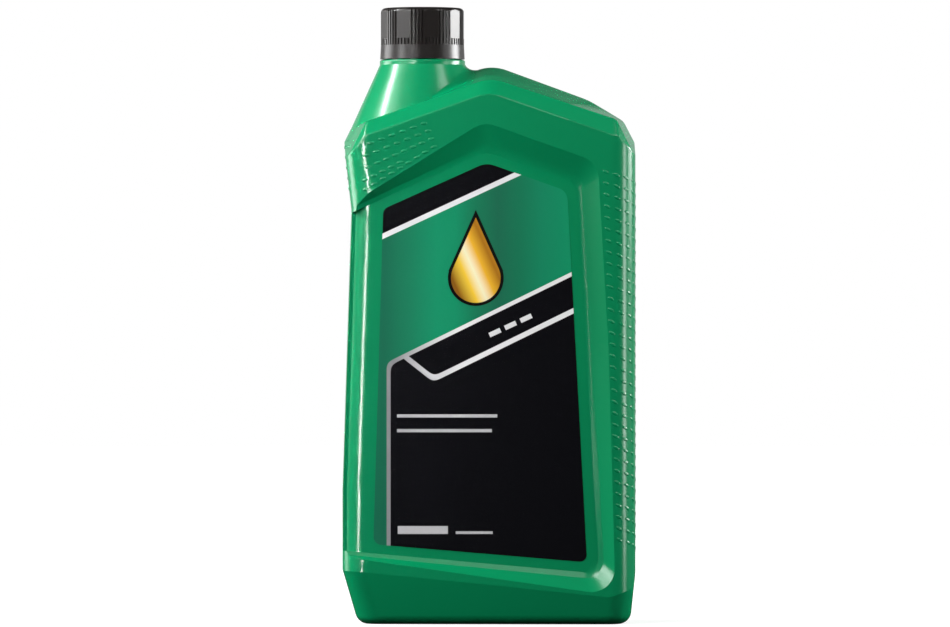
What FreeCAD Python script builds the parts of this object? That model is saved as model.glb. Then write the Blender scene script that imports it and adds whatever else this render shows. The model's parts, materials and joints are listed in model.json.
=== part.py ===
import FreeCAD, Part

# One-quart motor oil bottle with an offset neck and a screw cap.
# The origin is the middle of the standing face. X runs across the label from
# the neck side to the far shoulder, Y runs from front to back and Z is up.
# The label faces -Y. The bottle mirrors itself about the parting plane Y = 0.
# All sizes are in millimetres.

import math
import os

from FreeCAD import Vector

os.makedirs("parts", exist_ok=True)

UP = Vector(0, 0, 1)

# Overall sizes
total_height = 234.8
half_width = 55.7
half_depth = 27.5
wall = 0.9
corner_r = 9.5
panel_r = 8.0

# Places that the outlines are measured from
near = -half_width          # the side below the neck
far = half_width            # the side below the far shoulder
ridge_drop = 21.2
peak = total_height - ridge_drop
clear = 1.7                 # by which the outlines stand outside the sides

# Neck axis, and the heights along it
cap_height = 19.5
cap_gap = 0.4
neck_offset = 30.3
neck_x = near + neck_offset
cap_bottom = total_height - cap_height
collar_top = cap_bottom - cap_gap
collar_height = 1.9
collar_r = 16.3
cone_slope = 0.4526         # radius gained for each millimetre downwards
cone_height = 29.0
neck_r = 12.6
bore_r = 10.8
throat_drop = 3.5           # inner shoulder of the neck, in wall thicknesses

# Screw cap, liner and foil
cap_r = 15.9
cap_flare = 0.25
cap_inner_r = 14.2
cap_top_wall = 1.6
cap_edge_r = 1.8
liner_thick = 1.0
foil_thick = 0.2
lip_z = total_height - cap_top_wall - liner_thick - foil_thick
skirt_top = cap_bottom + 5.3
flat_foot = cap_bottom + 7.7
flats = 9
first_flat = 13.0           # degrees from the front, towards the far shoulder
groove_step = 5.0
groove_width = 0.95
groove_depth = 0.5
groove_top = total_height - 0.9

# Plan sections of the body: height, left side, right side
grip_z = peak - 56.3
grip_left = near + 3.4
shoulder_left = near + 0.4
SECTIONS = [
    (-12.0, near, far),
    (51.2, near, far),
    (grip_z, grip_left, far),
    (peak - 29.8, shoulder_left, far),
    (peak + 8.4, shoulder_left, far),
]

# Roof outlines in front view: x, z, corner radius
RIDGE = [
    (near - clear, -20.0, 3.0),
    (near - clear, peak - 34.1, 3.0),
    (near + 3.0, peak - 24.5, 3.0),
    (0.5, peak, 16.0),
    (far - 16.7, peak - 14.2, 30.0),
    (far - 4.2, peak - 22.0, 5.0),
    (far + clear, peak - 33.4, 3.0),
    (far + clear, -20.0, 3.0),
]
UPPER_CREASE = [
    (near - clear, -20.0, 3.0),
    (near - clear, peak - 43.6, 3.0),
    (near + 9.1, peak - 22.6, 3.0),
    (0.6, peak - 6.2, 14.0),
    (far - 25.7, peak - 15.9, 60.0),
    (far - 7.3, peak - 21.8, 4.0),
    (far + clear, peak - 40.1, 3.0),
    (far + clear, -20.0, 3.0),
]
LOWER_CREASE = [
    (near - clear, -20.0, 3.0),
    (near - clear, peak - 45.6, 3.0),
    (near + 7.6, peak - 28.2, 3.0),
    (-0.4, peak - 11.6, 12.0),
    (far - 25.7, peak - 22.0, 60.0),
    (far - 6.8, peak - 28.4, 4.0),
    (far + clear, peak - 42.6, 3.0),
    (far + clear, -20.0, 3.0),
]
crease_gap = 4.0            # depth of the bevel band behind the front face

# Edge rounds
ridge_r = 6.0
upper_crease_r = 2.0
lower_crease_r = 1.5
grip_r = 12.0
floor_ease = 0.6            # rise of the eased edge round the panel floor

# Tapered base in plan: x, y, corner radius, at the floor and at the fold
fold_left = 20.8
fold_right = 9.5
side_fold = 20.0
taper = math.tan(math.radians(16.0))
side_taper = math.tan(math.radians(5.7))
base_edge_r = 5.0
push_up = 2.2
rim_width = 9.0

# Label recess in front view: x, z, corner radius
recess_depth = 4.0
RECESS_RIM = [
    (near - 19.3, peak - 68.0, 3.0),
    (-2.1, peak - 22.8, 9.5),
    (far - 14.5, peak - 38.2, 9.0),
    (far - 10.4, 105.0, 60.0),
    (far - 7.7, 11.0, 9.0),
    (near - 19.3, 28.7, 3.0),
]
RECESS_FLOOR = [
    (near - 19.3, peak - 66.3, 3.0),
    (-1.0, peak - 33.0, 8.0),
    (far - 21.3, peak - 45.3, 5.5),
    (far - 18.0, 108.0, 60.0),
    (far - 12.5, 18.0, 6.5),
    (near - 19.3, 28.6, 3.0),
]

# Label film in front view: x, z, corner radius
label_thick = 0.15
LABEL = [
    (near + 15.55, peak - 55.9, 3.0),
    (-1.0, peak - 38.3, 8.0),
    (far - 26.0, peak - 49.1, 5.0),
    (far - 18.55, 23.7, 2.5),
    (near + 11.85, 30.5, 3.0),
]

# Fill
fill_volume = 946000.0
fill_guess = peak - 23.6
fill_gap = 0.12


def moved_in(corners, gap):
    """The same outline with every side moved inwards by a gap."""
    area = 0.0
    for i, (x, z, r) in enumerate(corners):
        area += corners[i - 1][0] * z - x * corners[i - 1][1]
    turn = 1.0 if area > 0 else -1.0
    moved = []
    for i, (x, z, r) in enumerate(corners):
        x0, z0, r0 = corners[i - 1]
        x1, z1, r1 = corners[(i + 1) % len(corners)]
        a = Vector(x - x0, z - z0, 0).normalize()
        b = Vector(x1 - x, z1 - z, 0).normalize()
        na = Vector(-a.y, a.x, 0) * turn
        nb = Vector(-b.y, b.x, 0) * turn
        step = (na + nb) * (gap / (1 + na.dot(nb)))
        hollow = a.cross(b).z * turn < 0
        moved.append((x + step.x, z + step.y, r + gap if hollow else r - gap))
    return moved


def rounded(corners, place):
    """A closed wire with rounded corners; place turns (x, z) into a point."""
    points = [place(x, z) for x, z, r in corners]
    ends = []
    for i, (x, z, r) in enumerate(corners):
        here = points[i]
        back = (points[i - 1] - here).normalize()
        ahead = (points[(i + 1) % len(points)] - here).normalize()
        half = math.acos(max(-1.0, min(1.0, back.dot(ahead)))) / 2
        reach = r / math.tan(half)
        middle = (back + ahead).normalize() * (r / math.sin(half) - r)
        ends.append((here + back * reach, here + middle, here + ahead * reach))
    edges = []
    for i, (start, mid, end) in enumerate(ends):
        edges.append(Part.LineSegment(ends[i - 1][2], start).toShape())
        edges.append(Part.Arc(start, mid, end).toShape())
    return Part.Wire(edges)


def upright(corners, y):
    return rounded(corners, lambda x, z: Vector(x, y, z))


def level(corners, z):
    return rounded(corners, lambda x, y: Vector(x, y, z))


def column(inset, sunk=0.0, radius=corner_r):
    """The walls of the body, or of the sunk panel: rounded rectangles joined upwards."""
    deep = half_depth - sunk
    wires = []
    for z, left, right in SECTIONS:
        plan = [
            (left, -deep, radius),
            (right, -deep, radius),
            (right, deep, radius),
            (left, deep, radius),
        ]
        wires.append(level(moved_in(plan, inset), z))
    return Part.makeLoft(wires, True, True)


def roof(inset):
    """The chevron shoulder: outlines joined from front to back."""
    front = half_depth + 4.0
    grow = 4.0 / crease_gap
    proud = []
    for low, up in zip(LOWER_CREASE, UPPER_CREASE):
        proud.append((low[0], low[1] - (up[1] - low[1]) * grow, low[2]))
    bevel = half_depth - crease_gap
    half = [
        upright(moved_in(proud, inset), -front + inset),
        upright(moved_in(UPPER_CREASE, inset), -bevel + inset * 0.5),
        upright(moved_in(RIDGE, inset), 0),
    ]
    near = Part.makeLoft(half, True, True)
    far = near.mirror(Vector(0, 0, 0), Vector(0, 1, 0))
    return near.fuse(far).removeSplitter()


def base_plan(z):
    """The tapered foot of the body at a height."""
    left = -half_width + (fold_left - z) * taper
    right = half_width - (side_fold - z) * side_taper
    at_left = half_depth - (fold_left - z) * taper
    at_right = half_depth - (fold_right - z) * taper
    return [
        (left, -at_left, corner_r),
        (right, -at_right, corner_r),
        (right, at_right, corner_r),
        (left, at_left, corner_r),
    ]


def foot(inset):
    low = level(moved_in(base_plan(0), inset), inset)
    above = total_height + 25.2
    high = level(moved_in(base_plan(above), inset), above)
    taper_block = Part.makeLoft([low, high], True, True)
    edges = [e for e in taper_block.Edges if e.BoundBox.ZMax < inset + 0.01]
    return taper_block.makeFillet(base_edge_r - inset, edges)


def cone(inset):
    """The cone that carries the neck, down to inside the shoulder."""
    top = collar_top - collar_height - inset * throat_drop
    cone_foot = collar_top - collar_height - cone_height
    height = top - cone_foot
    r = collar_r - inset + inset * throat_drop * cone_slope
    whole = Part.makeCone(r + height * cone_slope, r, height, Vector(neck_x, 0, cone_foot))
    return whole.common(column(inset + 0.6))


def recess(inset):
    """The shallow cutter that sinks the front label panel.

    Its floor is the front of a smaller column, so the panel runs out over the
    neck-side corner in a round of its own.
    """
    floor_y = -half_depth + recess_depth + inset

    def wall_line(rise):
        part = rise / recess_depth
        line = []
        for a, b in zip(RECESS_FLOOR, RECESS_RIM):
            line.append(tuple(p + (q - p) * part for p, q in zip(a, b)))
        return moved_in(line, -inset * 0.4)

    cutter = Part.makeLoft([
        upright(wall_line(recess_depth + 2.0), floor_y - recess_depth - 2.0),
        upright(wall_line(floor_ease), floor_y - floor_ease),
        upright(moved_in(wall_line(0), floor_ease * 2), floor_y),
        upright(moved_in(wall_line(0), floor_ease * 2), floor_y + 3.0),
    ], True, True)
    return cutter.cut(column(inset, recess_depth, panel_r))


def pushed_base(inset):
    """The shallow hollow under the base, leaving a standing rim."""
    plan = [(x, y, r + 6.0) for x, y, r in base_plan(0)]
    low = level(moved_in(plan, rim_width - inset), -1.0)
    high = level(moved_in(plan, rim_width + 4.0 - inset), push_up + inset)
    return Part.makeLoft([low, high], True, True)


def softened(solid, radius, chosen):
    """Round the creases whose middle point passes the test."""
    edges = []
    for edge in solid.Edges:
        sides = solid.ancestorsOfType(edge, Part.Face)
        if len(sides) != 2:
            continue
        p = edge.valueAt((edge.FirstParameter + edge.LastParameter) / 2)
        normals = []
        for side in sides:
            u, v = side.Surface.parameter(p)
            normals.append(side.normalAt(u, v))
        bend = math.degrees(normals[0].getAngle(normals[1]))
        if bend > 5 and chosen(p):
            edges.append(edge)
    return solid.makeFillet(radius, edges)


def body(inset):
    """The closed form of the body; the outside gets its soft edges."""
    solid = column(inset).common(roof(inset)).common(foot(inset))
    if inset == 0:
        bevel_y = half_depth - crease_gap
        eaves = peak - 27.6
        solid = softened(solid, grip_r, lambda p: abs(p.z - grip_z) < 0.5)
        solid = softened(solid, ridge_r, lambda p: abs(p.y) < 0.1 and p.z > eaves - 6)
        solid = softened(solid, upper_crease_r, lambda p: abs(abs(p.y) - bevel_y) < 0.3 and p.z > eaves)
        solid = softened(solid, lower_crease_r, lambda p: abs(abs(p.y) - half_depth) < 0.2 and p.z > eaves)
    solid = solid.fuse(cone(inset))
    front = recess(inset)
    back = front.mirror(Vector(0, 0, 0), Vector(0, 1, 0))
    solid = solid.cut([front, back, pushed_base(inset)])
    return solid.removeSplitter()


def neck():
    """Collar and plain neck finish, without the bore."""
    collar = Part.makeCylinder(collar_r, collar_height, Vector(neck_x, 0, collar_top - collar_height))
    collar = collar.makeFillet(0.6, [e for e in collar.Edges if e.BoundBox.ZMin > collar_top - 0.1])
    tube = Part.makeCylinder(neck_r, lip_z - collar_top + 1.0, Vector(neck_x, 0, collar_top - 1.0))
    lip = [e for e in tube.Edges if e.BoundBox.ZMin > lip_z - 0.1]
    return collar.fuse(tube.makeChamfer(0.4, lip))


def throat(inset):
    """The bore from the cavity up through the lip."""
    top = collar_top - collar_height
    drop = inset * throat_drop
    r = collar_r - inset + drop * cone_slope
    funnel = Part.makeCone(r, bore_r, drop, Vector(neck_x, 0, top - drop))
    bore = Part.makeCylinder(bore_r, lip_z - top + 1.0, Vector(neck_x, 0, top))
    return funnel.fuse(bore)


def bottle():
    outside = body(0).fuse(neck())
    inside = body(wall).fuse(throat(wall))
    return outside.cut(inside).removeSplitter().Solids[0]


def cap_axis(shape):
    shape.translate(Vector(neck_x, 0, 0))
    return shape


def grooves():
    """V grooves round the skirt: long ones between the flats, short ones below them."""
    cuts = []
    for i in range(int(360 / groove_step)):
        on_flat = (i % 8) < 4
        top = flat_foot if on_flat else groove_top
        out = cap_r + 0.1
        half = groove_width / 2
        tip = Vector(cap_r - groove_depth, 0, 0)
        low = Vector(out, -half, 0)
        high = Vector(out, half, 0)
        prism = Part.Face(Part.makePolygon([tip, low, high, tip])).extrude(UP * (top - skirt_top))
        prism.translate(UP * skirt_top)
        prism.rotate(Vector(0, 0, 0), UP, first_flat - 90 + groove_step * (i - 1.5))
        cuts.append(prism)
    return cuts


def screw_cap():
    skirt = Part.makeCone(cap_r + cap_flare, cap_r, skirt_top - cap_bottom, Vector(0, 0, cap_bottom))
    top = Part.makeCylinder(cap_r, total_height - skirt_top, Vector(0, 0, skirt_top))
    rim = [e for e in top.Edges if e.BoundBox.ZMin > total_height - 0.1]
    solid = skirt.fuse(top.makeFillet(cap_edge_r, rim)).removeSplitter()
    hollow = Part.makeCylinder(cap_inner_r, cap_height - cap_top_wall + 1.0, Vector(0, 0, cap_bottom - 1.0))
    cuts = [hollow] + grooves()
    flat_r = cap_r * math.cos(math.radians(10))
    for i in range(flats):
        block = Part.makeBox(4, 12, total_height - flat_foot + 1, Vector(flat_r, -6, flat_foot))
        block.rotate(Vector(0, 0, 0), UP, first_flat - 90 + 360.0 / flats * i)
        cuts.append(block)
    return cap_axis(solid.cut(cuts))


def cap_liner():
    disc = Part.makeCylinder(cap_inner_r - 0.1, liner_thick, Vector(0, 0, lip_z + foil_thick))
    return cap_axis(disc)


def foil_seal():
    return cap_axis(Part.makeCylinder(neck_r - 0.1, foil_thick, Vector(0, 0, lip_z)))


def front_label():
    y = -half_depth + recess_depth
    film = Part.Face(upright(LABEL, y))
    return film.extrude(Vector(0, -label_thick, 0))


def oil():
    """The fill, with its level stepped to the fill volume."""
    room = body(wall + fill_gap)
    level_z = fill_guess
    surface = 4 * half_width * half_depth * 0.88
    for step in range(5):
        slab = Part.makeBox(200, 200, level_z + 20, Vector(-100, -100, -20))
        fill = room.common(slab)
        level_z += (fill_volume - fill.Volume) / surface
    return fill.Solids[0]


def main():
    made = {
        "bottle": bottle(),
        "screw_cap": screw_cap(),
        "cap_liner": cap_liner(),
        "foil_seal": foil_seal(),
        "front_label": front_label(),
        "oil": oil(),
    }
    for name, shape in made.items():
        shape.exportStep("parts/" + name + ".step")


main()
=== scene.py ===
import json
import math

import bpy
from mathutils import Matrix, Vector
from mathutils.bvhtree import BVHTree

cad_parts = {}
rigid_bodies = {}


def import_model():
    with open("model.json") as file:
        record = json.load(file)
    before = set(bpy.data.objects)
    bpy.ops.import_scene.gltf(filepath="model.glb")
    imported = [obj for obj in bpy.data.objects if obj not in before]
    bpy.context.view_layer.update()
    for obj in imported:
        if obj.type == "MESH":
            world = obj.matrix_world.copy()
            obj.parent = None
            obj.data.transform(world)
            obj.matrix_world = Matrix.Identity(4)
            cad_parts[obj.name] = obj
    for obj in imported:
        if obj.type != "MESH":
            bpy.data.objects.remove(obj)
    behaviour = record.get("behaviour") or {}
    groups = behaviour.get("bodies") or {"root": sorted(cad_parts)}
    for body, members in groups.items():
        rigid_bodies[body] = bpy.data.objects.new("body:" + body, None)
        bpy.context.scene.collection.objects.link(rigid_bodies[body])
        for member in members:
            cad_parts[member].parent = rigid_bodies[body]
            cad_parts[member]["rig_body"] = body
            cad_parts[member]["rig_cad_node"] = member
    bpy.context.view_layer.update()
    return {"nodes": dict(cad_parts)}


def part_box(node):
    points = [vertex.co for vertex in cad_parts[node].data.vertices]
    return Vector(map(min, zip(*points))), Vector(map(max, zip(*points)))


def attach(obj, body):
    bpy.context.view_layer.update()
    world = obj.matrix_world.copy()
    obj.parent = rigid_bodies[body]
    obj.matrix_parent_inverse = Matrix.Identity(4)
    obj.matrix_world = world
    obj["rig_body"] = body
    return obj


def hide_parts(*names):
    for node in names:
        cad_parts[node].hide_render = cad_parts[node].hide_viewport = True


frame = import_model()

# Lengths are in metres. The label faces -Y, the neck is towards -X, Z is up.

nodes = frame["nodes"]

MM = 0.001

# Places taken from the frame
cap_low, cap_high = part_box("screw_cap")
neck_x = (cap_low.x + cap_high.x) / 2
half_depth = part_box("bottle")[1].y

# Photograph: 950 x 627, seen square on from the front through a long lens
photo_width = 950
photo_height = 627
mm_per_pixel = 0.379
origin_px = 489
floor_px = 625


def at_pixel(px, py):
    """The place in the front view, in millimetres, of a point in the photograph."""
    return (px - origin_px) * mm_per_pixel, (floor_px - py) * mm_per_pixel


# Small tools

def linear(code):
    """An sRGB hex colour as the linear colour that a shader takes."""
    parts = [int(code[i:i + 2], 16) / 255 for i in (1, 3, 5)]
    return tuple(c / 12.92 if c <= 0.04045 else ((c + 0.055) / 1.055) ** 2.4 for c in parts) + (1.0,)


def add(tree, kind, inputs=None, **settings):
    """A node with its settings, and its inputs linked or given a value."""
    made = tree.nodes.new(kind)
    for key, value in settings.items():
        setattr(made, key, value)
    for key, value in (inputs or {}).items():
        if isinstance(value, bpy.types.NodeSocket):
            tree.links.new(value, made.inputs[key])
        else:
            made.inputs[key].default_value = value
    return made


def start_material(name):
    """A new material with its tree and its Principled shader."""
    material = bpy.data.materials.new(name)
    material.use_nodes = True
    tree = material.node_tree
    return material, tree, tree.nodes["Principled BSDF"]


def paint(obj, material):
    """The material as the piece's only one."""
    obj.data.materials.clear()
    obj.data.materials.append(material)


def pick(*objs):
    """These objects selected alone, the last one active."""
    bpy.ops.object.select_all(action="DESELECT")
    for obj in objs:
        obj.select_set(True)
    bpy.context.view_layer.objects.active = objs[-1]


def apply_modifier(obj, kind, **settings):
    """A modifier added with its settings and made part of the mesh."""
    pick(obj)
    bpy.ops.object.modifier_add(type=kind)
    modifier = obj.modifiers[-1]
    for key, value in settings.items():
        setattr(modifier, key, value)
    bpy.ops.object.modifier_apply(modifier=modifier.name)


def object_places(tree):
    """The surface's place in millimetres, as a vector and as X, Y and Z."""
    place = add(tree, "ShaderNodeTexCoord").outputs["Object"]
    scaled = add(tree, "ShaderNodeVectorMath", {0: place, 1: (1000, 1000, 1000)}, operation="MULTIPLY")
    split = add(tree, "ShaderNodeSeparateXYZ", {0: scaled.outputs[0]})
    return scaled.outputs[0], split.outputs


# Fine relief of the surfaces, in millimetres
peel_width = 2.857             # one wave of the orange peel
peel_high = 0.4
seam_core = 0.08               # half width of the seam's top
seam_foot = 0.3                # half width of its foot
seam_high = 0.15
grain_width = 0.25             # one spark crater: really about 0.05, drawn coarser to show
grain_deep = 0.1
gate_r = 1.0                   # radius of the gate's dimple
gate_rim = 1.4
gate_deep = 0.3
cell_width = 0.33              # one cell of the foam
cell_deep = 0.1
crinkle_width = 2.0            # one crinkle of the foil
crinkle_high = 0.4


# Materials

def moulded_polyethylene():
    """Extrusion blow-moulded HDPE with green masterbatch: a wet-looking gloss
    from the polished mould, with a faint orange peel, and a fine raised line
    where the two mould halves met."""
    material, tree, shader = start_material("blow moulded green HDPE")
    shader.inputs["Base Color"].default_value = linear("#008654")
    shader.inputs["Roughness"].default_value = 0.23
    shader.inputs["IOR"].default_value = 1.54
    place, split = object_places(tree)
    peel = add(tree, "ShaderNodeTexNoise", {"Vector": place, "Scale": 1 / peel_width, "Detail": 2.0})
    peel_bump = add(tree, "ShaderNodeBump", {"Strength": 0.05, "Distance": peel_high * MM,
                    "Height": peel.outputs[0]})
    off = add(tree, "ShaderNodeMath", {0: split[1]}, operation="ABSOLUTE")
    seam = add(tree, "ShaderNodeMapRange", {0: off.outputs[0], 1: seam_core, 2: seam_foot, 3: 1.0, 4: 0.0},
               interpolation_type="SMOOTHSTEP")
    seam_bump = add(tree, "ShaderNodeBump", {"Strength": 0.6, "Distance": seam_high * MM,
                    "Height": seam.outputs[0], "Normal": peel_bump.outputs[0]})
    tree.links.new(seam_bump.outputs[0], shader.inputs["Normal"])
    return material


def moulded_polypropylene():
    """Injection-moulded black PP: satin from a fine spark-eroded mould, with the
    small round dimple of the injection gate in the middle of the top."""
    material, tree, shader = start_material("injection moulded black PP")
    shader.inputs["Base Color"].default_value = linear("#1a1615")
    shader.inputs["Roughness"].default_value = 0.3
    shader.inputs["IOR"].default_value = 1.49
    place = object_places(tree)[0]
    grain = add(tree, "ShaderNodeTexNoise", {"Vector": place, "Scale": 1 / grain_width, "Detail": 2.0})
    bump = add(tree, "ShaderNodeBump", {"Strength": 0.08, "Distance": grain_deep * MM,
               "Height": grain.outputs[0]})
    axis = add(tree, "ShaderNodeVectorMath", {0: place, 1: (-neck_x / MM, 0, 0)}, operation="ADD")
    flat = add(tree, "ShaderNodeVectorMath", {0: axis.outputs[0], 1: (1, 1, 0)}, operation="MULTIPLY")
    out = add(tree, "ShaderNodeVectorMath", {0: flat.outputs[0]}, operation="LENGTH").outputs["Value"]
    gate = add(tree, "ShaderNodeMapRange", {0: out, 1: gate_r, 2: gate_rim, 3: 0.0, 4: 1.0})
    gate_bump = add(tree, "ShaderNodeBump", {"Strength": 0.8, "Distance": gate_deep * MM,
                    "Height": gate.outputs[0], "Normal": bump.outputs[0]})
    tree.links.new(gate_bump.outputs[0], shader.inputs["Normal"])
    return material


def foamed_liner():
    """Die-cut foamed PE sheet: matt, off-white, finely pitted."""
    material, tree, shader = start_material("foamed PE liner")
    shader.inputs["Base Color"].default_value = linear("#e6e4dc")
    shader.inputs["Roughness"].default_value = 0.8
    place = object_places(tree)[0]
    cells = add(tree, "ShaderNodeTexVoronoi", {"Vector": place, "Scale": 1 / cell_width})
    bump = add(tree, "ShaderNodeBump", {"Strength": 0.3, "Distance": cell_deep * MM,
               "Height": cells.outputs[0]})
    tree.links.new(bump.outputs[0], shader.inputs["Normal"])
    return material


def seal_foil():
    """Rolled aluminium foil, heat sealed on the lip: bright, slightly crinkled."""
    material, tree, shader = start_material("rolled aluminium seal foil")
    shader.inputs["Base Color"].default_value = linear("#d6d6d8")
    shader.inputs["Metallic"].default_value = 1.0
    shader.inputs["Roughness"].default_value = 0.28
    place = object_places(tree)[0]
    crinkle = add(tree, "ShaderNodeTexNoise", {"Vector": place, "Scale": 1 / crinkle_width, "Detail": 4.0})
    bump = add(tree, "ShaderNodeBump", {"Strength": 0.4, "Distance": crinkle_high * MM,
               "Height": crinkle.outputs[0]})
    tree.links.new(bump.outputs[0], shader.inputs["Normal"])
    return material


def engine_oil():
    """Refined mineral oil: clear amber liquid."""
    material, _, shader = start_material("amber mineral oil")
    shader.inputs["Base Color"].default_value = linear("#c98a1e")
    shader.inputs["Roughness"].default_value = 0.0
    shader.inputs["IOR"].default_value = 1.47
    shader.inputs["Transmission Weight"].default_value = 0.9
    return material


# Label print, in millimetres in the front view
stripe_half = 0.95
fine_half = 0.75
upper_stripe = (at_pixel(383, 236), at_pixel(517, 174))
middle_stripe = (at_pixel(405.5, 355.5), at_pixel(572, 274))
lower_stripe = (at_pixel(440, 376), at_pixel(573, 311))
fold_stripe = (at_pixel(408, 359), at_pixel(432, 378))
margin_x = at_pixel(388.5, 0)[0]
corner_round = 3.5
drop_centre = (-5.0, 131.5)
drop_r = 9.4
drop_height = 23.0
drop_edge = 1.2
ink_blur = 0.1                 # width of a soft ink edge
green_span = (-40.0, 30.0)     # left and right end of the painted sheen on the green ink
silver_span = (-36.0, -12.0)   # left and right end of the painted sheen on the silver ink
gold_across = 0.045            # the run of the painted sheen on the gold ink for each millimetre to the right
gold_up = 0.02                 # and for each millimetre upwards
gold_middle = 0.4
slant = math.atan2(upper_stripe[1][1] - upper_stripe[0][1], upper_stripe[1][0] - upper_stripe[0][0])
stripe_bars = [-6.5, 0.0, 6.5]
stripe_bar_at = at_pixel(505, 328)
stripe_bar_long = 4.6
stripe_bar_half = 0.9

# Plain rules in the black panel: left end, height, length, half thickness
rules = [
    (-34.9, 79.2, 38.0, 0.6),
    (-34.9, 73.6, 36.0, 0.6),
    (-34.6, 35.9, 19.0, 1.5),
    (-12.6, 34.9, 14.0, 0.5),
]

# Inks
black_ink = "#06060b"
white_ink = "#ececec"
bar_ink = "#e8e8e8"
rule_ink = "#c4c4c6"
edge_ink = "#0b0a08"
# Green, silver and gold are each a ramp of painted sheen: the ink lighter and darker across the label, with
# a painted highlight in the gold
green_ink_painted_sheen = [(0.0, "#17694c"), (0.14, "#187c58"), (0.29, "#139064"), (0.39, "#138f63"), (0.5, "#187955"),
               (0.62, "#1d6c4f"), (0.74, "#187855"), (0.86, "#168860"), (1.0, "#129265")]
silver_ink_painted_sheen = [(0.0, "#8d8d8f"), (0.6, "#d9d9da"), (1.0, "#f1f1f1")]
gold_ink_painted_sheen = [(0.0, "#8a5a14"), (0.25, "#f7cf3f"), (0.42, "#fff6cf"), (0.6, "#efb52d"),
              (0.8, "#a86f1a"), (1.0, "#e3a427")]


def side_of(tree, split, ends):
    """Distance in millimetres from a line in the front view, plus on its upper side."""
    (x0, z0), (x1, z1) = ends
    length = math.hypot(x1 - x0, z1 - z0)
    nx, nz = -(z1 - z0) / length, (x1 - x0) / length
    across = add(tree, "ShaderNodeMath", {0: split[0], 1: nx}, operation="MULTIPLY")
    up = add(tree, "ShaderNodeMath", {0: split[2], 1: nz, 2: across.outputs[0]}, operation="MULTIPLY_ADD")
    off = add(tree, "ShaderNodeMath", {0: up.outputs[0], 1: x0 * nx + z0 * nz}, operation="SUBTRACT")
    return off.outputs[0]


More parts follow.
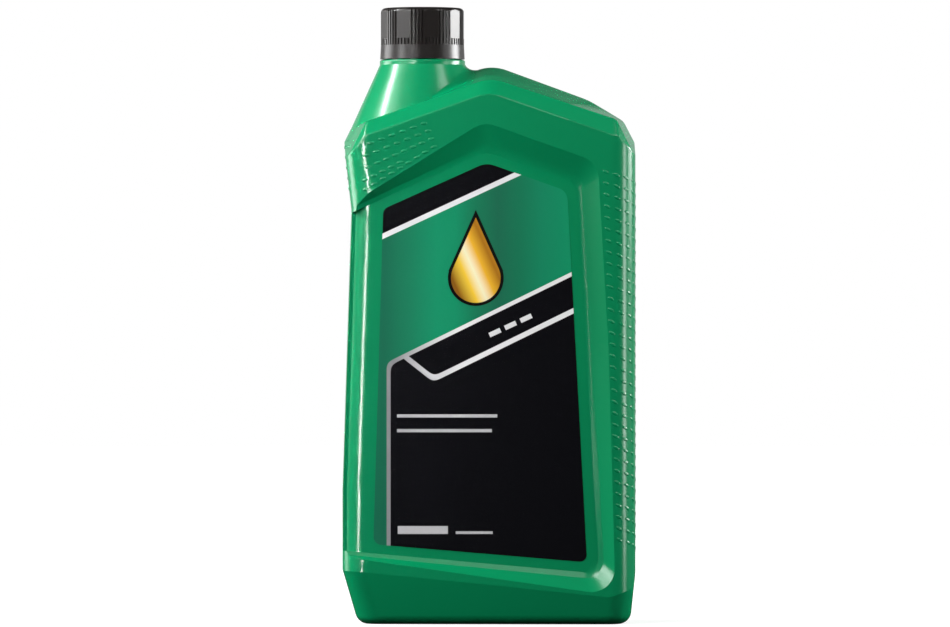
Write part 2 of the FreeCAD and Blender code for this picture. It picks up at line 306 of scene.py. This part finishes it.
def printed_film():
    """Gravure-printed PE label film under a clear gloss varnish: inks in plain
    fields, silver stripes, and a gold drop where such labels carry an emblem.
    The green, silver and gold carry painted sheen, lighter and darker across
    the label, with a painted highlight in the gold."""
    material, tree, shader = start_material("printed PE label film")
    split = object_places(tree)[1]

    def calc(operation, a, b=0.0, c=0.0):
        """One sum of the given kind."""
        return add(tree, "ShaderNodeMath", {0: a, 1: b, 2: c}, operation=operation).outputs[0]

    def inked(distance, half=0.0):
        """1 where the distance is below the half width, with a soft edge."""
        edge = {0: distance, 1: half + ink_blur / 2, 2: half - ink_blur / 2, 3: 0.0, 4: 1.0}
        return add(tree, "ShaderNodeMapRange", edge).outputs[0]

    def over(mask, below, ink):
        """The ink printed over what lies below, where the mask is 1."""
        return add(tree, "ShaderNodeMix", {"Factor": mask, 6: below, 7: ink}, data_type="RGBA").outputs[2]

    def ramp(value, stops):
        """A colour that runs through the stops as the value goes from 0 to 1."""
        made = add(tree, "ShaderNodeValToRGB", {0: value})
        scale = made.color_ramp
        while len(scale.elements) < len(stops):
            scale.elements.new(0.5)
        for element, (place_on, code) in zip(scale.elements, stops):
            element.position = place_on
            element.color = linear(code)
        return made.outputs[0]

    def share_of(span):
        """0 at the left end of a span and 1 at its right end."""
        ends = {0: split[0], 1: span[0], 2: span[1], 3: 0.0, 4: 1.0}
        return add(tree, "ShaderNodeMapRange", ends).outputs[0]

    upper = side_of(tree, split, upper_stripe)
    middle = side_of(tree, split, middle_stripe)
    lower = side_of(tree, split, lower_stripe)
    fold = side_of(tree, split, fold_stripe)
    margin = calc("SUBTRACT", margin_x, split[0])

    # green ground, with a painted sheen running lighter and darker across it from left to right
    green = ramp(share_of(green_span), green_ink_painted_sheen)

    # black panel below the middle stripe, and black top field
    panel = calc("SMOOTH_MAX", margin, middle, corner_round)
    ground = over(inked(panel), green, linear(black_ink))
    ground = over(inked(calc("MULTIPLY", upper, -1.0)), ground, linear(black_ink))

    # silver stripes with a painted sheen: greyer towards the left end, near white towards the right
    silver = ramp(share_of(silver_span), silver_ink_painted_sheen)
    band = calc("SMOOTH_MIN", lower, fold, corner_round)
    band_line = calc("MULTIPLY", inked(calc("ABSOLUTE", band), stripe_half), inked(panel))
    ground = over(inked(calc("ABSOLUTE", panel), fine_half), ground, silver)
    ground = over(band_line, ground, silver)
    ground = over(inked(calc("ABSOLUTE", upper), stripe_half), ground, linear(white_ink))

    # plain white bars: short slanted ones in the stripe, and rules in the black panel
    def bar(x, z, long, half, lean):
        """Distance in millimetres from a bar that starts at a place and leans."""
        u, v = math.cos(lean), math.sin(lean)
        on = calc("MULTIPLY_ADD", split[0], u, calc("MULTIPLY_ADD", split[2], v, -(x * u + z * v)))
        off = calc("MULTIPLY_ADD", split[0], -v, calc("MULTIPLY_ADD", split[2], u, x * v - z * u))
        return calc("MAXIMUM", calc("SUBTRACT", calc("ABSOLUTE", calc("SUBTRACT", on, long / 2)), long / 2),
                    calc("SUBTRACT", calc("ABSOLUTE", off), half))

    for step in stripe_bars:
        x = stripe_bar_at[0] + step * math.cos(slant)
        z = stripe_bar_at[1] + step * math.sin(slant)
        mask = inked(bar(x, z, stripe_bar_long, stripe_bar_half, slant))
        ground = over(mask, ground, linear(bar_ink))
    for x, z, long, half in rules:
        ground = over(inked(bar(x, z, long, half, 0.0)), ground, linear(rule_ink))

    # gold drop with a dark printed edge, and a painted sheen and highlight across the gold
    lean_angle = math.asin(drop_r / drop_height)
    dx = calc("ABSOLUTE", calc("SUBTRACT", split[0], drop_centre[0]))
    dz = calc("SUBTRACT", split[2], drop_centre[1])
    square = calc("ADD", calc("MULTIPLY", dx, dx), calc("MULTIPLY", dz, dz))
    ball = calc("SUBTRACT", calc("SQRT", square), drop_r)
    tip = calc("MULTIPLY", calc("SUBTRACT", dz, drop_height), math.sin(lean_angle))
    flank = calc("MULTIPLY_ADD", dx, math.cos(lean_angle), tip)
    foot = calc("SUBTRACT", drop_r * math.sin(lean_angle), dz)
    drop = calc("MINIMUM", ball, calc("MAXIMUM", flank, foot))
    # painted sheen on the gold, running from the lower left to the upper right, with a painted highlight
    # near its middle
    rise = calc("MULTIPLY_ADD", dz, gold_up, gold_middle)
    glow = calc("MULTIPLY_ADD", calc("SUBTRACT", split[0], drop_centre[0]), gold_across, rise)
    gold = ramp(glow, gold_ink_painted_sheen)
    ground = over(inked(drop, drop_edge), ground, linear(edge_ink))
    ground = over(inked(drop), ground, gold)

    tree.links.new(ground, shader.inputs["Base Color"])
    shader.inputs["Roughness"].default_value = 0.25
    shader.inputs["IOR"].default_value = 1.45
    return material


# Degrees of bend from which an edge stays sharp: all over a skin, and for shallow
# folds from less, but only above a height
bottle_sharp = 28
cap_sharp = 24
fold_sharp = 15                # the fold above the base and the recess walls
fold_above = 6 * MM
ridge_sharp = 11               # the recess's top wall and the shoulder's bands
ridge_above = 170 * MM
same_place = 0.002 * MM        # corners closer than this are one


def mark_creases(skin, angle, above):
    """Keep shallow folds crisp: edges past an angle, higher than a level."""
    pick(skin)
    bpy.ops.object.mode_set(mode="EDIT")
    bpy.ops.mesh.select_mode(type="EDGE")
    bpy.ops.mesh.select_all(action="DESELECT")
    bpy.ops.mesh.edges_select_sharp(sharpness=math.radians(angle))
    bpy.ops.object.mode_set(mode="OBJECT")
    mesh = skin.data
    for edge in mesh.edges:
        if min(mesh.vertices[i].co.z for i in edge.vertices) < above:
            edge.select = False
    bpy.ops.object.mode_set(mode="EDIT")
    bpy.ops.mesh.mark_sharp()
    bpy.ops.object.mode_set(mode="OBJECT")


def smooth_copy(node, name, angle, creases=()):
    """A CAD node's own surface with its doubles merged and its rounds shaded smooth."""
    source = nodes[node]
    pick(source)
    bpy.ops.object.duplicate()
    skin = bpy.context.active_object
    skin.name = name
    skin.data.name = name
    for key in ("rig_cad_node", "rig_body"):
        if key in skin:
            del skin[key]
    pick(skin)
    bpy.ops.object.mode_set(mode="EDIT")
    bpy.ops.mesh.select_all(action="SELECT")
    bpy.ops.mesh.remove_doubles(threshold=same_place)
    bpy.ops.object.mode_set(mode="OBJECT")
    bpy.ops.mesh.customdata_custom_splitnormals_clear()
    bpy.ops.object.shade_smooth_by_angle(angle=math.radians(angle))
    for crease, above in creases:
        mark_creases(skin, crease, above)
    apply_modifier(skin, "WEIGHTED_NORMAL", keep_sharp=True, weight=60)
    skin.parent = None
    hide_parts(node)
    return skin


# Grip marks, in millimetres: small raised ticks, moulded in rows round the shoulder
# and in columns round the corners away from the neck
mark_long = 2.7
mark_wide = 1.25
mark_high = 0.2
mark_sink = 0.1                # how far a mark starts below the skin
mark_steps = ((0.65, 0.84), (0.35, 0.5))   # share of the height, and how much it narrows
mark_pitch = 3.65
shoulder_rows = [
    (at_pixel(370.6, 142.9), at_pixel(424, 123.5)),
    (at_pixel(366.0, 155.5), at_pixel(428, 131)),
    (at_pixel(368.5, 167.0), at_pixel(431, 139)),
    (at_pixel(365.0, 180.0), at_pixel(400, 162.5)),
    (at_pixel(366.0, 189.0), at_pixel(434, 147)),
]
side_rows = [181.5, 177.5, 173.5, 169.5, 165.5]
side_reach = 17.5              # half length of a row on the narrow side
side_row_lean = (0, -0.96, 0.28)
corner_x = 46.2                # centre and radius of the body's corners
corner_y = 18.0
corner_r = 9.5
columns = 7
column_step = 4.0
column_start = -1.9            # the first column starts this far before the corner
column_lean = 5.3              # and ends this much farther round it
column_drop = 1.1              # each column lies lower than the last
rib_top = 171.7
rib_foot = 30.0
rib_pitch = 4.36
rib_rise = 0.6                 # height of the columns' marks against the rows'
rib_lean = -0.55               # how much the columns' marks tip downwards

# How far out the rays start that find the skin
from_front = 60
from_side = 90
from_corner = 40


def tick():
    """One grip mark: a low oval dome, lying flat at the origin."""
    bpy.ops.object.select_all(action="DESELECT")
    bpy.ops.mesh.primitive_circle_add(vertices=12, radius=0.5 * MM, fill_type="NGON", location=(0, 0, 0))
    mark = bpy.context.active_object
    bpy.ops.object.mode_set(mode="EDIT")
    bpy.ops.mesh.select_all(action="SELECT")
    bpy.ops.transform.resize(value=(mark_long, mark_wide, 1))
    bpy.ops.transform.translate(value=(0, 0, -mark_sink * MM))
    below = mark_sink
    for share, shrink in mark_steps:
        rise = below + mark_high * share
        bpy.ops.mesh.extrude_region_move(TRANSFORM_OT_translate={"value": (0, 0, rise * MM)})
        bpy.ops.transform.resize(value=(shrink, shrink, 1))
        below = 0.0
    bpy.ops.mesh.select_all(action="SELECT")
    bpy.ops.mesh.normals_make_consistent(inside=False)
    bpy.ops.object.mode_set(mode="OBJECT")
    return mark


def mark_places():
    """Rays that find each mark's place on the skin: start, direction, lean and rise."""
    rays = []
    for (x0, z0), (x1, z1) in shoulder_rows:
        count = int(math.hypot(x1 - x0, z1 - z0) / mark_pitch)
        lean = math.atan2(z1 - z0, x1 - x0) / 2
        for i in range(count + 1):
            x = x0 + (x1 - x0) * i / count
            z = z0 + (z1 - z0) * i / count
            for way in (1, -1):
                start = (x, -from_front * way, z)
                rays.append((start, (0, way, 0), (math.cos(lean), 0, math.sin(lean)), 1.0))
    for row, z in enumerate(side_rows):
        count = int(2 * side_reach / mark_pitch)
        for i in range(count + (row % 2 == 0)):
            y = -side_reach + mark_pitch * (i + 0.5 * (row % 2))
            rays.append(((-from_side, y, z), (1, 0, 0), side_row_lean, 1.0))
    rows = int((rib_top - rib_foot) / rib_pitch)
    for row in range(rows + 1):
        for column in range(columns):
            z = rib_top - rib_pitch * row - column_drop * column
            along = column_start + column_step * column + column_lean * (rib_top - z) / (rib_top - rib_foot)
            turn = min(max(along, 0) / corner_r, math.pi / 2)
            past = max(along - corner_r * math.pi / 2, 0)
            ray = Vector((math.sin(turn), -math.cos(turn), 0))
            foot = Vector((corner_x + min(along, 0), -corner_y + past, z))
            side = Vector((math.cos(turn), math.sin(turn), rib_lean)).normalized()
            for way in (1, -1):
                flip = Vector((1, way, 1))
                start = foot * flip + ray * flip * from_corner
                rays.append((start, -ray * flip, side * flip, rib_rise))
    return rays


def grip_marks(skin):
    """Every tick set on the skin, joined as one piece."""
    surface = BVHTree.FromObject(skin, bpy.context.evaluated_depsgraph_get())
    first = tick()
    made = []
    for start, way, lean, rise in mark_places():
        spot, normal = surface.ray_cast(Vector(start) * MM, Vector(way))[:2]
        if spot is None:
            continue
        along = Vector(lean) - normal * Vector(lean).dot(normal)
        along.normalize()
        across = normal.cross(along)
        turn = Matrix((along, across, normal)).transposed().to_4x4()
        copy = first.copy()
        copy.data = first.data.copy()
        copy.data.transform(Matrix.Translation(spot) @ turn @ Matrix.Scale(rise, 4, (0, 0, 1)))
        bpy.context.scene.collection.objects.link(copy)
        made.append(copy)
    bpy.data.objects.remove(first)
    pick(*made)
    bpy.ops.object.join()
    marks = bpy.context.active_object
    marks.name = "grip_marks"
    bpy.ops.object.shade_smooth_by_angle(angle=math.radians(50))
    return marks


# Screw threads, in millimetres: 28 mm finish, 4.23 mm pitch, right-handed
thread_pitch = 4.23
thread_turns = 1.5
neck_root = 12.5
neck_crest = 13.6
cap_root = 14.3
cap_crest = 13.1
neck_root_width = 2.3
neck_crest_width = 0.9
cap_root_width = 1.5
cap_crest_width = 0.6
neck_thread_z = 222.0
cap_thread_z = neck_thread_z - thread_pitch / 2
steps_per_turn = 60


def thread(name, root, crest, root_width, crest_width, z):
    """A ridge wound up the neck axis, from a four-sided profile."""
    bpy.ops.object.select_all(action="DESELECT")
    bpy.ops.mesh.primitive_plane_add(size=1, rotation=(math.pi / 2, 0, 0), location=(0, 0, 0))
    ridge = bpy.context.active_object
    ridge.name = name
    bpy.ops.object.transform_apply(location=True, rotation=True, scale=True)
    for vertex in ridge.data.vertices:
        at_crest = vertex.co.x > 0
        width = crest_width if at_crest else root_width
        vertex.co.x = (crest if at_crest else root) * MM
        vertex.co.z = (z + math.copysign(width / 2, vertex.co.z)) * MM
    bpy.ops.object.mode_set(mode="EDIT")
    bpy.ops.mesh.select_all(action="SELECT")
    bpy.ops.mesh.delete(type="ONLY_FACE")
    bpy.ops.object.mode_set(mode="OBJECT")
    steps = int(steps_per_turn * thread_turns)
    climb = thread_turns * thread_pitch * MM
    apply_modifier(ridge, "SCREW", angle=thread_turns * math.tau, screw_offset=climb,
                   steps=steps, render_steps=steps, use_merge_vertices=False)
    bpy.ops.object.mode_set(mode="EDIT")
    bpy.ops.mesh.select_all(action="SELECT")
    bpy.ops.mesh.fill_holes(sides=4)
    bpy.ops.mesh.select_all(action="SELECT")
    bpy.ops.mesh.normals_make_consistent(inside=False)
    bpy.ops.object.mode_set(mode="OBJECT")
    bpy.ops.object.shade_smooth_by_angle(angle=math.radians(35))
    ridge.data.transform(Matrix.Translation((neck_x, 0, 0)))
    return ridge


# Blend between the neck cone and the shoulder, in millimetres
cone_slope = 0.4526            # radius gained for each millimetre downwards
cone_top = 213.0               # height at which the cone meets the collar
cone_top_r = 16.3              # the cone's radius there
cone_tip = cone_top + cone_top_r / cone_slope
web_sweep = 82.0               # degrees to each side of the ridge
web_trim = 2.0                 # degrees kept clear of the sweep's ends
web_up = 4.2
web_out = 6.0
web_start_r = 16.5             # the search for the crease runs outwards from here
web_step = 0.05
web_thick = 0.5
drop_from = 260                # height from which rays drop on the shoulder


def web_section(surface, turn):
    """Three points that steer the blend at one turn about the neck: up the cone,
    in the crease, and out on the shoulder."""
    way = Vector((math.cos(turn), math.sin(turn), 0))

    def dropped(r):
        """The place on the shoulder straight below a radius."""
        start = Vector((neck_x, 0, drop_from * MM)) + way * r * MM
        return surface.ray_cast(start, Vector((0, 0, -1)))[0]

    r = web_start_r
    while dropped(r).z / MM < cone_tip - r / cone_slope + web_step:
        r += web_step
    ease = math.cos(turn * 90 / web_sweep) ** 0.5
    fall = math.atan(cone_slope)
    crease = dropped(r)
    up = way * -math.sin(fall) + Vector((0, 0, math.cos(fall)))
    return crease + up * web_up * ease * MM, crease, dropped(r + web_out * ease)


def neck_web(skin):
    """The hollow blend where the neck cone runs into the shoulder: a strip whose
    sections are quadratic curves, tangent to the cone and to the shoulder."""
    surface = BVHTree.FromObject(skin, bpy.context.evaluated_depsgraph_get())
    bpy.ops.object.select_all(action="DESELECT")
    bpy.ops.mesh.primitive_grid_add(x_subdivisions=40, y_subdivisions=8, size=1, location=(0, 0, 0))
    web = bpy.context.active_object
    web.name = "neck_web"
    for vertex in web.data.vertices:
        turn = math.radians(vertex.co.x * 2 * (web_sweep - web_trim))
        part = vertex.co.y + 0.5
        on_cone, crease, on_roof = web_section(surface, turn)
        vertex.co = on_cone * (1 - part) ** 2 + crease * 2 * part * (1 - part) + on_roof * part ** 2
    bpy.ops.object.mode_set(mode="EDIT")
    bpy.ops.mesh.select_all(action="SELECT")
    bpy.ops.mesh.normals_make_consistent(inside=False)
    bpy.ops.object.mode_set(mode="OBJECT")
    if web.data.polygons[0].normal.z < 0:
        web.data.flip_normals()
    apply_modifier(web, "SOLIDIFY", thickness=web_thick * MM, offset=-1.0)
    bpy.ops.object.shade_smooth_by_angle(angle=math.radians(50))
    return web


# Pinch line under the base, in millimetres
pinch_long = 72
pinch_wide = 1.3
pinch_high = 0.9
pinch_x = 0.5
pinch_z = 1.95
pinch_round = 0.3


def pinch_line():
    """The weld left under the base where the mould closed on the hot tube."""
    bpy.ops.object.select_all(action="DESELECT")
    bpy.ops.mesh.primitive_cube_add(size=1, location=(pinch_x * MM, 0, pinch_z * MM))
    weld = bpy.context.active_object
    weld.name = "pinch_line"
    bpy.ops.transform.resize(value=(pinch_long * MM, pinch_wide * MM, pinch_high * MM))
    bpy.ops.object.transform_apply(location=True, rotation=True, scale=True)
    bpy.ops.object.mode_set(mode="EDIT")
    bpy.ops.mesh.select_all(action="SELECT")
    bpy.ops.mesh.bevel(offset=pinch_round * MM, segments=3, affect="EDGES")
    bpy.ops.object.mode_set(mode="OBJECT")
    bpy.ops.object.shade_smooth_by_angle(angle=math.radians(40))
    return weld


# Stage

floor_size = 8
paper = "#a8a8a8"
flagged_paper = "#262626"
world_fill = 0.05
shadow_near = 0.12             # the floor's own glow grows from here
shadow_far = 0.7               # to here
shadow_lift = 0.66             # the glow's strength under the bottle


def make_stage():
    """A pale floor that keeps the shadow, under a white background. Only the
    camera sees both that bright: to the bottle they are dim, as between flags."""
    bpy.ops.object.select_all(action="DESELECT")
    bpy.ops.mesh.primitive_plane_add(size=floor_size, location=(0, 0, 0))
    floor = bpy.context.active_object
    floor.name = "studio_floor"
    material, tree, shader = start_material("white studio paper")
    shader.inputs["Base Color"].default_value = linear(paper)
    shader.inputs["Roughness"].default_value = 0.9
    seen = add(tree, "ShaderNodeLightPath")
    place = add(tree, "ShaderNodeTexCoord").outputs["Object"]
    away = add(tree, "ShaderNodeVectorMath", {0: place}, operation="LENGTH").outputs["Value"]
    fade = add(tree, "ShaderNodeMapRange", {0: away, 1: shadow_near, 2: shadow_far, 3: shadow_lift, 4: 1.0})
    lift = add(tree, "ShaderNodeEmission", {"Color": (1, 1, 1, 1), "Strength": fade.outputs[0]})
    lifted = add(tree, "ShaderNodeAddShader", {0: shader.outputs[0], 1: lift.outputs[0]})
    flagged = add(tree, "ShaderNodeBsdfDiffuse", {"Color": linear(flagged_paper)})
    choose = add(tree, "ShaderNodeMixShader",
                 {0: seen.outputs["Is Camera Ray"], 1: flagged.outputs[0], 2: lifted.outputs[0]})
    tree.links.new(choose.outputs[0], tree.nodes["Material Output"].inputs["Surface"])
    paint(floor, material)

    world = bpy.data.worlds.new("white studio")
    bpy.context.scene.world = world
    world.use_nodes = True
    tree = world.node_tree
    back = tree.nodes["Background"]
    back.inputs["Color"].default_value = (1, 1, 1, 1)
    back.inputs["Strength"].default_value = world_fill
    seen = add(tree, "ShaderNodeLightPath")
    white = add(tree, "ShaderNodeBackground", {"Color": (1, 1, 1, 1), "Strength": 1.0})
    choose = add(tree, "ShaderNodeMixShader",
                 {0: seen.outputs["Is Camera Ray"], 1: back.outputs[0], 2: white.outputs[0]})
    tree.links.new(choose.outputs[0], tree.nodes["World Output"].inputs["Surface"])


def softbox(name, place, target, width, height, power, beam=180):
    """A rectangular lamp turned to its target; a grid narrows its beam, in degrees."""
    data = bpy.data.lights.new(name, "AREA")
    data.shape = "RECTANGLE"
    data.size = width
    data.size_y = height
    data.energy = power
    data.spread = math.radians(beam)
    lamp = bpy.data.objects.new(name, data)
    bpy.context.scene.collection.objects.link(lamp)
    lamp.location = place
    lamp.visible_camera = False
    lamp.rotation_euler = (Vector(target) - Vector(place)).to_track_quat("-Z", "Y").to_euler()


camera_distance = 3.0
sensor = 36.0


def make_camera():
    """The photograph's view: square on from the front through a long lens."""
    data = bpy.data.cameras.new("photo camera")
    data.sensor_width = sensor
    data.lens = sensor * camera_distance / (photo_width * mm_per_pixel * MM)
    camera = bpy.data.objects.new("photo camera", data)
    bpy.context.scene.collection.objects.link(camera)
    x, z = at_pixel(photo_width / 2, photo_height / 2)
    camera.location = (x * MM, -camera_distance - half_depth, z * MM)
    camera.rotation_euler = (math.radians(90), 0, 0)
    bpy.context.scene.camera = camera


# Assembly

green_plastic = moulded_polyethylene()
black_plastic = moulded_polypropylene()

bottle_creases = ((fold_sharp, fold_above), (ridge_sharp, ridge_above))
skin = smooth_copy("bottle", "bottle_skin", bottle_sharp, bottle_creases)
paint(skin, green_plastic)
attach(skin, "bottle")

cap = smooth_copy("screw_cap", "cap_skin", cap_sharp)
paint(cap, black_plastic)
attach(cap, "cap")

marks = grip_marks(skin)
paint(marks, green_plastic)
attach(marks, "bottle")

neck_thread = thread("neck_thread", neck_root, neck_crest, neck_root_width, neck_crest_width,
                     neck_thread_z)
paint(neck_thread, green_plastic)
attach(neck_thread, "bottle")

cap_thread = thread("cap_thread", cap_root, cap_crest, cap_root_width, cap_crest_width, cap_thread_z)
paint(cap_thread, black_plastic)
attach(cap_thread, "cap")

web = neck_web(skin)
paint(web, green_plastic)
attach(web, "bottle")

weld = pinch_line()
paint(weld, green_plastic)
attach(weld, "bottle")

paint(nodes["bottle"], green_plastic)
paint(nodes["screw_cap"], black_plastic)
paint(nodes["cap_liner"], foamed_liner())
paint(nodes["foil_seal"], seal_foil())
paint(nodes["front_label"], printed_film())
paint(nodes["oil"], engine_oil())

make_stage()

# Lamps: name, place, target, width, height, watts, and the beam where a grid narrows it
centre = (0, 0, 0.13)
left_corner = (-0.052, -0.026, 0.10)
right_corner = (0.052, -0.024, 0.10)
softbox("high left softbox", (-0.86, -0.50, 0.60), centre, 0.34, 0.66, 7.5)
softbox("left high strip", (-0.98, -0.04, 0.86), centre, 0.08, 0.6, 12)
softbox("left back", (-0.88, 0.30, 0.25), centre, 0.5, 0.5, 5)
softbox("left low strip", (-0.42, -0.79, 0.07), left_corner, 0.05, 0.27, 0.024, beam=10)
softbox("right low softbox", (0.87, -0.36, 0.07), right_corner, 0.25, 0.35, 0.06, beam=24)
softbox("right cap light", (0.92, 0.20, 0.36), centre, 0.45, 0.30, 10)
softbox("high right softbox", (0.75, -0.55, 0.95), centre, 0.4, 0.3, 3)
softbox("front left softbox", (-0.60, -0.92, 0.75), centre, 0.45, 0.45, 6.5)
softbox("front softbox", (0.30, -1.12, 0.80), centre, 0.5, 0.5, 1.8)
softbox("backdrop", (0, 1.3, 0.25), centre, 3.0, 0.7, 3)
make_camera()

scene = bpy.context.scene
scene.view_settings.view_transform = "Standard"
